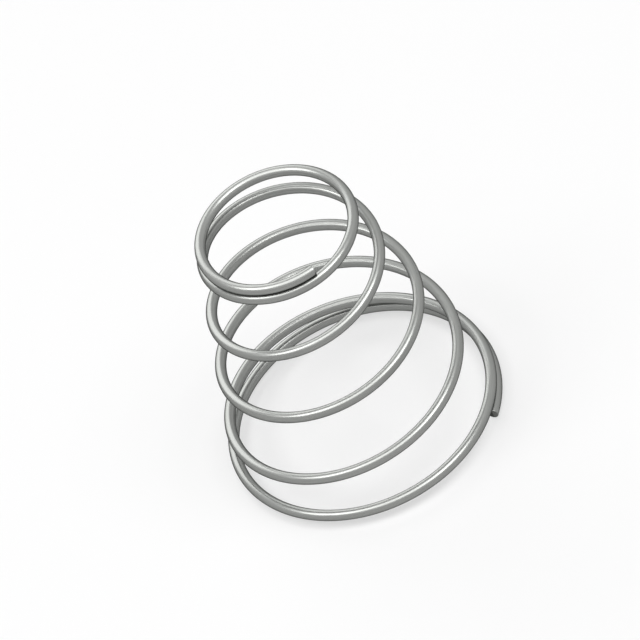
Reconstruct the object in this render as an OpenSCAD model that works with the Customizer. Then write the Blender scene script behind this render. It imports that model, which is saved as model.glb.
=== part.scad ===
// Conical compression spring, coiled from one round wire.
// Both ends are wound closed and left unground, and the wire is cut square.
// The spring stands on its large end, on the plane z = 0, and its axis is Z.
// Lengths are in millimetres and angles in degrees. A place along the wire is
// given in turns, counted from the wire's cut at the large end.

/* [Wire] */
// Diameter of the round wire
wire_d = 1.6; // [1:0.05:2]

/* [Cone] */
// Outside diameter of the coil at the large end
large_od = 40; // [34:0.1:60]
// Outside diameter of the coil at the small end
small_od = 23.4; // [16:0.1:30]
// Free length, from the lowest point to the highest
free_length = 43.4; // [36:0.1:80]

/* [Turns] */
// Turns wound closed at the large end
large_closed_turns = 1.22; // [1:0.01:1.75]
// Turns wound open between the closed ends
open_turns = 3.43; // [2:0.01:6]
// Turns wound closed at the small end
small_closed_turns = 1.23; // [1:0.01:1.75]
// Turns over which the coil eases from closed to open, and back
bend_turns = 0.25; // [0.1:0.05:0.5]
// Hand of the coil, as of a screw thread
hand = "right"; // [right, left]
// Direction of the wire's cut at the large end, from +X towards +Y
cut_angle = -34.2; // [-180:0.1:180]

/* [Closed ends] */
// Radius lost in each closed turn
closed_taper = 0.3; // [0:0.05:0.6]
// Clear space between one closed turn and the next
closed_gap = 0.05; // [0.04:0.01:0.3]

/* [Smoothness] */
// Flat sides around the wire
wire_sides = 16; // [12:2:18]
// Steps along the wire in each turn
steps_per_turn = 56; // [36:4:60]

/* [Hidden] */

steel_grey = [0.66, 0.66, 0.65];

// Radii of the wire's centre line at the two cuts
large_r = (large_od - wire_d) / 2;
small_r = (small_od - wire_d) / 2;

// Places along the wire, in turns
open_from = large_closed_turns;
open_to = open_from + open_turns;
total_turns = open_to + small_closed_turns;

// Height gained in one closed turn, and what an open turn gains or loses besides
closed_pitch = sqrt((wire_d + closed_gap) ^ 2 - closed_taper ^ 2);
open_pitch = (free_length - wire_d - closed_pitch * total_turns) / open_turns;
open_taper = (large_r - small_r - closed_taper * total_turns) / open_turns;

// With this corner radius, the section's polygon has the area of the round wire
corner_r = wire_d / 2 * sqrt(2 * PI / (wire_sides * sin(360 / wire_sides)));
steps = ceil(total_turns * steps_per_turn);

// How open the coil is u turns past a bend, from 0 to 1, and the sum of that up to u
function bend(u) = min(max(u / bend_turns + 1 / 2, 0), 1);
function bend_sum(u) =
    u < bend_turns / 2 ? max(u + bend_turns / 2, 0) ^ 2 / (2 * bend_turns) : u;

// How open the coil is at t turns, and how many open turns lie behind that place
function openness(t) = bend(t - open_from) - bend(t - open_to);
function open_behind(t) = bend_sum(t - open_from) - bend_sum(t - open_to);

// Radius and height of the wire's centre line at t turns, and their change per turn
function radius(t) = large_r - closed_taper * t - open_taper * open_behind(t);
function height(t) = wire_d / 2 + closed_pitch * t + open_pitch * open_behind(t);
function radius_change(t) = -closed_taper - open_taper * openness(t);
function height_change(t) = closed_pitch + open_pitch * openness(t);

// Directions at t turns: out from the axis, around it, and along the wire
function unit(v) = v / norm(v);
function outwards(t) = [cos(360 * t), sin(360 * t), 0];
function around(t) = [-sin(360 * t), cos(360 * t), 0];
function along(t) =
    unit(radius_change(t) * outwards(t) + 2 * PI * radius(t) * around(t) + [0, 0, height_change(t)]);

// Centre of the wire, and the two axes of a section cut square across it
function centre(t) = radius(t) * outwards(t) + [0, 0, height(t)];
function section_out(t) = unit(outwards(t) - (outwards(t) * along(t)) * along(t));
function section_up(t) = cross(along(t), section_out(t));

// Corners of the section, with a flat side above and a flat side below
function ring(t) =
    let (c = centre(t), out = section_out(t), up = section_up(t))
    [for (k = [0:wire_sides - 1])
        let (a = 360 * (k + 1 / 2) / wire_sides)
        c + corner_r * (cos(a) * out + sin(a) * up)];

// A closed skin over a row of rings: a cap on the first and the last, and walls between
module skin(rings) {
    sides = len(rings[0]);
    last = len(rings) - 1;
    first_cap = [for (k = [0:sides - 1]) k];
    last_cap = [for (k = [sides - 1:-1:0]) last * sides + k];
    walls = [for (i = [0:last - 1], k = [0:sides - 1])
        let (a = i * sides, b = a + sides, next = (k + 1) % sides)
        [a + k, b + k, b + next, a + next]];
    polyhedron(
        points = [for (corners = rings) each corners],
        faces = concat([first_cap, last_cap], walls),
        convexity = 12
    );
}

// The spring is one length of wire, swept along the tapered coil from cut to cut
module conical_spring() {
    color(steel_grey)
        rotate(cut_angle)
            mirror([0, hand == "left" ? 1 : 0, 0])
                skin([for (i = [0:steps]) ring(total_turns * i / steps)]);
}

conical_spring();
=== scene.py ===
"""Looks of the conical spring: a smooth wire of drawn steel with sheared ends, and a plain studio."""

import math

import bpy
import numpy as np
from mathutils import Matrix, Vector


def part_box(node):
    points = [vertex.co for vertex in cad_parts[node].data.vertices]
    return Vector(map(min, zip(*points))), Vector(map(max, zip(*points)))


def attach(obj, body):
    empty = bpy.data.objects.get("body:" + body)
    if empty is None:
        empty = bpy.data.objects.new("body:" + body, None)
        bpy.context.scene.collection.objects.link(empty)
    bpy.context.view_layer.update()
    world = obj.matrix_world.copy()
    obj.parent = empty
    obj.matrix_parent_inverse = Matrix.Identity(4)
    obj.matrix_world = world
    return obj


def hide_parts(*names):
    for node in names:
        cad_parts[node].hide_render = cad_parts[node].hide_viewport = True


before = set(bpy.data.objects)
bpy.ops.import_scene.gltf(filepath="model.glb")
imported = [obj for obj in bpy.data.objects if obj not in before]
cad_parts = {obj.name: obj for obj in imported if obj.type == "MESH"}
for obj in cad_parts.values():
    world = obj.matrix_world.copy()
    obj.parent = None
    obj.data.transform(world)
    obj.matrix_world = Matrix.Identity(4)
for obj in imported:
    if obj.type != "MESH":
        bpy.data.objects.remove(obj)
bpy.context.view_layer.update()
bpy.context.scene.view_settings.view_transform = "Standard"

# Lengths are in metres. A place along the wire is given in turns, from the cut at the large end.
MM = 0.001
NODE = "conical_spring"

# The coil's sizes, as in the part's source
WIRE_D = 1.6 * MM
LARGE_OD = 40.0 * MM
SMALL_OD = 23.4 * MM
LARGE_CLOSED_TURNS = 1.22
OPEN_TURNS = 3.43
SMALL_CLOSED_TURNS = 1.23
BEND_TURNS = 0.25
CUT_ANGLE = math.radians(-34.2)
CLOSED_TAPER = 0.3 * MM
CLOSED_GAP = 0.05 * MM

# The wire's mesh: sides around it, steps along it, and rings across each cut face
WIRE_SIDES = 48
STEPS_PER_TURN = 160
FACE_RINGS = 12

# A cut end: its broken edge, the rim that the blade drew in, and the slope of the part that tore.
# Where a zone starts is a share of the wire's radius, towards the outside of the coil.
EDGE_BREAK = 0.06 * MM
EDGE_STEPS = 4
ROLLOVER_FROM = 0.55
ROLLOVER_DEPTH = 0.07 * MM
TEAR_FROM = 0.1
TEAR_BLEND = 0.15
TEAR_DEPTH = 0.06 * MM

# The ripples of the torn part: half of their height, and the two waves that cross in them.
# Each wave turns by so many radians over the wire's radius, outwards and upwards.
RIPPLE = 0.012 * MM
WAVE_OUT = 4
WAVE_UP = 9
CROSS_WAVE_OUT = 7
CROSS_WAVE_UP = -3
CROSS_WAVE_SHIFT = 1

# The map that patterns can be baked through: the wire in rows, and its two cut faces above them
MAP_ROWS = 10
MAP_GAP = 0.3 * MM
MAP_MARGIN = 2 * MAP_GAP

# The steel: a grey metal under a thin film from drawing, which dims its rims
STEEL_COLOUR = (0.280, 0.286, 0.276)
STEEL_METALLIC = 0.86
STEEL_ROUGHNESS = 0.29
STEEL_SPECULAR = 0.1
STEEL_EDGE_TINT = (0, 0, 0, 1)

# The drawn finish: fine lines from the die, broad streaks and patches. A mark's size is along the wire,
# outwards and upwards. Its tone and roughness are how far it sways those of the steel.
DIE_LINE = (12 * MM, 0.06 * MM, 0.06 * MM)
DIE_LINE_TONE = 0.24
DIE_LINE_ROUGHNESS = 0.04
DIE_LINE_DEPTH = 0.0006 * MM
STREAK = (40 * MM, 0.35 * MM, 0.35 * MM)
STREAK_TONE = 0.24
STREAK_ROUGHNESS = 0.08
PATCH = (6 * MM, 1.5 * MM, 1.5 * MM)
PATCH_TONE = 0.10

# The track that the coiling pins rubbed on the outside of the coil. Across the wire it starts at one
# share of the radius and is full at another. Along the wire it comes and goes with the patches' noise.
RUBBED_FROM = 0.90
RUBBED_FULL = 0.99
RUBBED_PATCH_FROM = 0.35
RUBBED_PATCH_FULL = 0.60
RUBBED_TONE = 0.06
RUBBED_ROUGHNESS = -0.05

# The cut faces: fine lines where the blade went in, and a grain where the rest tore
BLADE_LINE = (1 * MM, 0.6 * MM, 0.03 * MM)
GRAIN = (0.05 * MM, 0.05 * MM, 0.05 * MM)
GRAIN_DETAIL = 3.0
CUT_TONE = 0.60
TORN_TONE = 0.35
CUT_SWAY = 0.4
CUT_ROUGHNESS = 0.35
TORN_ROUGHNESS = 0.6
CUT_DEPTH = 0.01 * MM

# The camera: orthographic, tilted down and rolled as in the photograph
CAMERA_ELEVATION = math.radians(46.11)
CAMERA_ROLL = math.radians(26.21)
CAMERA_WIDTH = 89.16 * MM
CAMERA_DISTANCE = 400 * MM
AIM_HEIGHT = 21.91 * MM
AIM_RIGHT = 0.08 * MM

# The studio. A seen value is for the camera, for reflections and for what shows through glass.
FLOOR_SIZE = 3.0
FLOOR_SEEN = 0.35
FLOOR_GLOW = 0.57
FLOOR_BOUNCE = 0.30
WORLD_SEEN = 1.0
WORLD_LIGHT = 0.05
LAMP_DISTANCE = 1.0

spring_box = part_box(NODE)
ground = spring_box[0].z
free_length = spring_box[1].z - ground

# Derived sizes of the coil
wire_r = WIRE_D / 2
large_r = (LARGE_OD - WIRE_D) / 2
small_r = (SMALL_OD - WIRE_D) / 2
open_from = LARGE_CLOSED_TURNS
open_to = open_from + OPEN_TURNS
total_turns = open_to + SMALL_CLOSED_TURNS
closed_pitch = math.sqrt((WIRE_D + CLOSED_GAP) ** 2 - CLOSED_TAPER**2)
open_pitch = (free_length - WIRE_D - closed_pitch * total_turns) / OPEN_TURNS
open_taper = (large_r - small_r - CLOSED_TAPER * total_turns) / OPEN_TURNS


def bend(past):
    """How open the coil is this many turns past a bend, from 0 to 1."""
    return np.clip(past / BEND_TURNS + 0.5, 0, 1)


def bend_sum(past):
    """The sum of bend up to this many turns past the bend."""
    eased = np.maximum(past + BEND_TURNS / 2, 0) ** 2 / (2 * BEND_TURNS)
    return np.where(past < BEND_TURNS / 2, eased, past)


def rise(low, high, value):
    """0 up to low and 1 from high, with a smooth rise between them."""
    share = np.clip((value - low) / (high - low), 0, 1)
    return share * share * (3 - 2 * share)


def unit(rows):
    """Each row scaled to length 1."""
    return rows / np.linalg.norm(rows, axis=1, keepdims=True)


def wire_at(turns):
    """The wire's centre, its direction and the two axes of its section, as one row for each place."""
    openness = bend(turns - open_from) - bend(turns - open_to)
    open_behind = bend_sum(turns - open_from) - bend_sum(turns - open_to)
    radius = large_r - CLOSED_TAPER * turns - open_taper * open_behind
    height = ground + wire_r + closed_pitch * turns + open_pitch * open_behind
    angle = CUT_ANGLE + 2 * math.pi * turns
    level = np.zeros_like(angle)
    outwards = np.stack([np.cos(angle), np.sin(angle), level], 1)
    around = np.stack([-np.sin(angle), np.cos(angle), level], 1)
    upwards = np.array([0.0, 0.0, 1.0])
    centre = radius[:, None] * outwards + height[:, None] * upwards
    along = unit(
        (-CLOSED_TAPER - open_taper * openness)[:, None] * outwards
        + (2 * math.pi * radius)[:, None] * around
        + (closed_pitch + open_pitch * openness)[:, None] * upwards
    )
    section_out = unit(outwards - (outwards * along).sum(1, keepdims=True) * along)
    return centre, along, section_out, np.cross(along, section_out)


def cut_relief(across, above):
    """How far a cut face lies behind a flat cut. The blade came in from the outside of the coil."""
    out, up = across / wire_r, above / wire_r
    rollover = ROLLOVER_DEPTH * rise(ROLLOVER_FROM, 1, out) ** 2
    torn = 1 - rise(TEAR_FROM - TEAR_BLEND, TEAR_FROM, out)
    slope = TEAR_DEPTH * np.clip((TEAR_FROM - out) / (TEAR_FROM + 1), 0, 1)
    wave = np.sin(WAVE_OUT * out + WAVE_UP * up)
    cross_wave = np.sin(CROSS_WAVE_OUT * out + CROSS_WAVE_UP * up + CROSS_WAVE_SHIFT)
    return rollover + slope + torn * RIPPLE * (1 + wave * cross_wave)


class Wire:
    """The wire from cut to cut, as rings of points. Rows are rings, columns are sides."""

    def __init__(self):
        quarter = np.linspace(0, math.pi / 2, EDGE_STEPS + 1)
        edge_back = EDGE_BREAK * (1 - np.cos(quarter))
        edge_radius = wire_r - EDGE_BREAK * (1 - np.sin(quarter))
        face_radius = edge_radius[0] * np.arange(1, FACE_RINGS) / FACE_RINGS
        cut_back = np.concatenate([np.zeros_like(face_radius), edge_back])
        cut_radius = np.concatenate([face_radius, edge_radius])

        # Each ring's place, its distance behind the cut, the way into the wire there, and its radius
        steps = math.ceil(total_turns * STEPS_PER_TURN)
        cut_rings, body_rings = len(cut_back), steps - 1
        body = np.arange(1, steps) * total_turns / steps
        turns = np.concatenate([np.zeros(cut_rings), body, np.full(cut_rings, total_turns)])
        back = np.concatenate([cut_back, np.full(body_rings, EDGE_BREAK), cut_back[::-1]])
        inwards = np.repeat([1, 0, -1], [cut_rings, body_rings, cut_rings])
        radius = np.concatenate([cut_radius, np.full(body_rings, wire_r), cut_radius[::-1]])

        angles = 2 * math.pi * np.arange(WIRE_SIDES) / WIRE_SIDES
        self.across = np.cos(angles) * radius[:, None]
        self.above = np.sin(angles) * radius[:, None]
        relief = cut_relief(self.across, self.above) * (1 - back / EDGE_BREAK)[:, None]
        shift = inwards[:, None] * (back[:, None] + relief)

        centre, along, out, up = wire_at(turns)
        self.points = (
            centre[:, None]
            + shift[..., None] * along[:, None]
            + self.across[..., None] * out[:, None]
            + self.above[..., None] * up[:, None]
        )
        flat_centre = centre + (inwards * back)[:, None] * along
        step = np.linalg.norm(np.diff(flat_centre, axis=0), axis=1)
        self.length = np.concatenate([[0], np.cumsum(np.hypot(step, np.diff(radius)))])
        self.rings = len(turns)
        self.first_wall = FACE_RINGS - 1
        self.last_wall = self.rings - FACE_RINGS

    def quad_corners(self):
        """The ring and the column of each quad's four corners."""
        ring, column = (grid.reshape(-1, 1) for grid in np.mgrid[: self.rings - 1, :WIRE_SIDES])
        return ring + [0, 0, 1, 1], column + [0, 1, 1, 0]

    def cut_faces(self, ring):
        """Whether a quad that starts at this ring lies on a cut face."""
        return (ring < self.first_wall) | (ring >= self.last_wall)

    def straight(self):
        """Each point's place on the straight wire: its length, how far out and how far up."""
        length = np.repeat(self.length[:, None], WIRE_SIDES, 1)
        return np.stack([length, self.across, self.above], -1).reshape(-1, 3)


def wire_map(wire, ring, column, quads, middles):
    """Each face corner's place on the map: first the quads', then those of the two faces' middles."""
    start = wire.length[wire.first_wall]
    row_length = (wire.length[wire.last_wall] - start) / MAP_ROWS
    girth = 2 * math.pi * wire_r
    row_height = girth + MAP_GAP
    side = max(row_length + 2 * MAP_MARGIN, MAP_ROWS * row_height + WIRE_D + MAP_MARGIN)

    length = wire.length[ring] - start
    row = np.clip(length.mean(1, keepdims=True) // row_length, 0, MAP_ROWS - 1)
    run = length - row * row_length
    around = column * girth / WIRE_SIDES
    walls = np.stack([run + MAP_MARGIN, row * row_height + around + MAP_GAP / 2], -1)

    far = np.arange(wire.rings)[:, None] > wire.rings / 2
    disc_x = wire.across + wire_r + MAP_MARGIN + far * (WIRE_D + MAP_GAP)
    disc_y = wire.above + side - wire_r - MAP_GAP
    discs = np.stack([disc_x, disc_y], -1).reshape(-1, 2)
    corners = np.where(wire.cut_faces(ring[:, :1])[..., None], discs[quads], walls)
    return np.concatenate([corners.reshape(-1, 2), discs[middles].reshape(-1, 2)]) / side


def make_wire(name):
    """The wire as one closed mesh, with its places on the straight wire as an attribute."""
    wire = Wire()
    ring, column = wire.quad_corners()
    quads = ring * WIRE_SIDES + column % WIRE_SIDES
    sides = np.arange(WIRE_SIDES)
    middles = np.stack([sides[::-1], sides + (wire.rings - 1) * WIRE_SIDES])

    mesh = bpy.data.meshes.new(name)
    mesh.from_pydata(wire.points.reshape(-1, 3).tolist(), [], quads.tolist() + middles.tolist())
    cut = np.concatenate([wire.cut_faces(ring[:, 0]), [True, True]])
    mesh.polygons.foreach_set("use_smooth", np.ones(len(cut), bool))
    mesh.polygons.foreach_set("material_index", cut.astype(np.int32))
    place = mesh.attributes.new("straight", "FLOAT_VECTOR", "POINT")
    place.data.foreach_set("vector", wire.straight().ravel())
    layer = mesh.uv_layers.new(name="OFBake")
    layer.data.foreach_set("uv", wire_map(wire, ring, column, quads, middles).ravel())
    mesh.update()

    piece = bpy.data.objects.new(name, mesh)
    bpy.context.scene.collection.objects.link(piece)
    return piece


class Nodes:
    """A shader's nodes, added and joined by short calls."""

    def __init__(self, owner):
        owner.use_nodes = True
        self.owner = owner
        self.tree = owner.node_tree
        self.tree.nodes.clear()

    def join(self, value, socket):
        """Gives a socket a value, or the output of another node."""
        if isinstance(value, bpy.types.NodeSocket):
            self.tree.links.new(value, socket)
        else:
            socket.default_value = value

    def add(self, kind, settings=None, **inputs):
        """Adds a node of this kind with its inputs by name, a space written as an underscore."""
        node = self.tree.nodes.new(kind)
        for key, value in (settings or {}).items():
            setattr(node, key, value)
        for key, value in inputs.items():
            self.join(value, node.inputs[key.replace("_", " ")])
        return node

    def math(self, operation, *values):
        """Adds a Math node and returns its result."""
        node = self.tree.nodes.new("ShaderNodeMath")
        node.operation = operation
        for socket, value in zip(node.inputs, values):
            self.join(value, socket)
        return node.outputs[0]

    def sway(self, noise, amount, base):
        """A base that a noise from 0 to 1 sways by this amount in all."""
        return self.math("MULTIPLY_ADD", self.math("SUBTRACT", noise, 0.5), amount, base)

    def rise(self, low, high, value):
        """0 up to low and 1 from high, with a smooth rise between them."""
        smooth = {"interpolation_type": "SMOOTHSTEP"}
        node = self.add("ShaderNodeMapRange", smooth, Value=value, From_Min=low, From_Max=high)
        return node.outputs[0]

    def noise(self, place, sizes, detail=2.0):
        """Noise whose marks have these sizes along the wire, outwards and upwards."""
        scaled = self.add("ShaderNodeVectorMath", {"operation": "MULTIPLY"})
        self.join(place, scaled.inputs[0])
        scaled.inputs[1].default_value = [1 / size for size in sizes]
        node = self.add("ShaderNodeTexNoise", Vector=scaled.outputs[0], Scale=1.0, Detail=detail)
        return node.outputs[0]

    def place(self):
        """The place on the straight wire, and how far out it is."""
        place = self.add("ShaderNodeAttribute", {"attribute_name": "straight"}).outputs["Vector"]
        return place, self.add("ShaderNodeSeparateXYZ", Vector=place).outputs["Y"]

    def seen(self):
        """1 for a ray from the camera, from a gloss or through glass, and 0 for any other."""
        path = self.add("ShaderNodeLightPath").outputs
        seen = self.math("ADD", path["Is Camera Ray"], path["Is Glossy Ray"])
        return self.math("MINIMUM", self.math("ADD", seen, path["Is Transmission Ray"]), 1.0)

    def steel(self, tone, rough, height, depth):
        """The steel with these patterns of tone, roughness and height."""
        colour = self.add("ShaderNodeVectorMath", {"operation": "SCALE"}, Scale=tone)
        colour.inputs[0].default_value = STEEL_COLOUR
        bump = self.add("ShaderNodeBump", Height=height, Distance=depth, Strength=1.0)
        shader = self.add(
            "ShaderNodeBsdfPrincipled",
            Base_Color=colour.outputs[0],
            Metallic=STEEL_METALLIC,
            Roughness=rough,
            Specular_IOR_Level=STEEL_SPECULAR,
            Specular_Tint=STEEL_EDGE_TINT,
            Normal=bump.outputs[0],
        )
        self.add("ShaderNodeOutputMaterial", Surface=shader.outputs[0])
        return self.owner


def drawn_steel():
    """Drawn wire: fine die lines, broad faint streaks, and the track that the coiling pins rubbed."""
    nodes = Nodes(bpy.data.materials.new("drawn_steel"))
    place, out = nodes.place()
    die_lines = nodes.noise(place, DIE_LINE)
    streaks = nodes.noise(place, STREAK)
    patches = nodes.noise(place, PATCH)
    track = nodes.rise(RUBBED_FROM * wire_r, RUBBED_FULL * wire_r, out)
    patchy = nodes.rise(RUBBED_PATCH_FROM, RUBBED_PATCH_FULL, patches)
    rubbed = nodes.math("MULTIPLY", track, patchy)

    tone = nodes.sway(streaks, STREAK_TONE, 1.0)
    tone = nodes.sway(patches, PATCH_TONE, tone)
    tone = nodes.sway(die_lines, DIE_LINE_TONE, tone)
    tone = nodes.math("MULTIPLY_ADD", rubbed, RUBBED_TONE, tone)
    rough = nodes.sway(die_lines, DIE_LINE_ROUGHNESS, STEEL_ROUGHNESS)
    rough = nodes.sway(streaks, STREAK_ROUGHNESS, rough)
    rough = nodes.math("MULTIPLY_ADD", rubbed, RUBBED_ROUGHNESS, rough)
    return nodes.steel(tone, rough, die_lines, DIE_LINE_DEPTH)


def cut_steel():
    """A sheared face: smooth and lined where the blade went in, dull and grained where it tore."""
    nodes = Nodes(bpy.data.materials.new("cut_steel"))
    place, out = nodes.place()
    whole = nodes.rise((TEAR_FROM - TEAR_BLEND) * wire_r, TEAR_FROM * wire_r, out)
    grain = nodes.noise(place, GRAIN, GRAIN_DETAIL)
    blade_lines = nodes.noise(place, BLADE_LINE)
    relief = nodes.add("ShaderNodeMix", Factor=whole, A=grain, B=blade_lines).outputs[0]
    tone = nodes.math("MULTIPLY_ADD", whole, CUT_TONE - TORN_TONE, TORN_TONE)
    rough = nodes.math("MULTIPLY_ADD", whole, CUT_ROUGHNESS - TORN_ROUGHNESS, TORN_ROUGHNESS)
    return nodes.steel(nodes.sway(relief, CUT_SWAY, tone), rough, relief, CUT_DEPTH)


def floor_material():
    """A pale floor, white to the eye, that keeps the spring's shadow."""
    nodes = Nodes(bpy.data.materials.new("floor"))
    seen = nodes.seen()
    shade = nodes.math("MULTIPLY_ADD", seen, FLOOR_SEEN - FLOOR_BOUNCE, FLOOR_BOUNCE)
    diffuse = nodes.add("ShaderNodeBsdfDiffuse", Color=shade)
    glow = nodes.add("ShaderNodeEmission", Strength=nodes.math("MULTIPLY", seen, FLOOR_GLOW))
    both = nodes.add("ShaderNodeAddShader")
    nodes.join(diffuse.outputs[0], both.inputs[0])
    nodes.join(glow.outputs[0], both.inputs[1])
    nodes.add("ShaderNodeOutputMaterial", Surface=both.outputs[0])
    return nodes.owner


def make_floor():
    """A wide flat floor at the spring's foot."""
    half = FLOOR_SIZE / 2
    corners = [(-half, -half, 0), (half, -half, 0), (half, half, 0), (-half, half, 0)]
    mesh = bpy.data.meshes.new("floor")
    mesh.from_pydata(corners, [], [(0, 1, 2, 3)])
    mesh.materials.append(floor_material())
    floor = bpy.data.objects.new("floor", mesh)
    floor.location.z = ground
    bpy.context.scene.collection.objects.link(floor)


def make_world():
    """A white world behind the floor, and its faint light."""
    world = bpy.data.worlds.new("studio")
    bpy.context.scene.world = world
    nodes = Nodes(world)
    strength = nodes.math("MULTIPLY_ADD", nodes.seen(), WORLD_SEEN - WORLD_LIGHT, WORLD_LIGHT)
    back = nodes.add("ShaderNodeBackground", Color=(1, 1, 1, 1), Strength=strength)
    nodes.add("ShaderNodeOutputWorld", Surface=back.outputs[0])


def make_camera():
    """The photograph's camera."""
    sine, cosine = math.sin(CAMERA_ELEVATION), math.cos(CAMERA_ELEVATION)
    level_right = Vector((1, 0, 0))
    level_up = Vector((0, sine, cosine))
    back = Vector((0, -cosine, sine))
    right = math.cos(CAMERA_ROLL) * level_right - math.sin(CAMERA_ROLL) * level_up
    up = math.sin(CAMERA_ROLL) * level_right + math.cos(CAMERA_ROLL) * level_up
    data = bpy.data.cameras.new("camera")
    data.type = "ORTHO"
    data.ortho_scale = CAMERA_WIDTH
    camera = bpy.data.objects.new("camera", data)
    turn = Matrix((right, up, back)).transposed()
    aim = Vector((0, 0, ground + AIM_HEIGHT)) + AIM_RIGHT * right
    camera.matrix_world = Matrix.Translation(aim + CAMERA_DISTANCE * back) @ turn.to_4x4()
    bpy.context.scene.collection.objects.link(camera)
    bpy.context.scene.camera = camera


def towards(bearing, elevation):
    """The direction at this bearing, right of the camera's side, and this elevation, in degrees."""
    bearing, elevation = math.radians(bearing), math.radians(elevation)
    flat = math.cos(elevation)
    return Vector((math.sin(bearing) * flat, -math.cos(bearing) * flat, math.sin(elevation)))


def make_lamp(name, direction, level, width, depth, long_side=Vector((1, 0, 0))):
    """A round or long softbox. A white card that faces a small one renders as its level."""
    data = bpy.data.lights.new(name, "AREA")
    data.shape = "ELLIPSE"
    data.size = width
    data.size_y = depth
    data.energy = level * (math.pi * LAMP_DISTANCE) ** 2
    lamp = bpy.data.objects.new(name, data)
    across = (long_side - long_side.dot(direction) * direction).normalized()
    turn = Matrix((across, direction.cross(across), direction)).transposed()
    aim = Vector((0, 0, ground + free_length / 2))
    lamp.matrix_world = Matrix.Translation(aim + LAMP_DISTANCE * direction) @ turn.to_4x4()
    lamp.visible_camera = False
    bpy.context.scene.collection.objects.link(lamp)


def make_lamps():
    """A long softbox overhead, a small lamp near each of its ends, and a wide one low behind."""
    overhead = towards(bearing=-24, elevation=79)
    key = towards(bearing=57, elevation=63)
    second = towards(bearing=-88, elevation=58)
    back = towards(bearing=-167, elevation=21)
    make_lamp("overhead", overhead, level=0.90, width=1.60, depth=0.90, long_side=key - second)
    make_lamp("key", key, level=0.24, width=0.44, depth=0.44)
    make_lamp("second", second, level=0.18, width=0.44, depth=0.44)
    make_lamp("back", back, level=0.70, width=1.10, depth=1.10)


wire = make_wire("spring_wire")
wire.data.materials.append(drawn_steel())
wire.data.materials.append(cut_steel())
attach(wire, "root")
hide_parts(NODE)

make_floor()
make_world()
make_camera()
make_lamps()
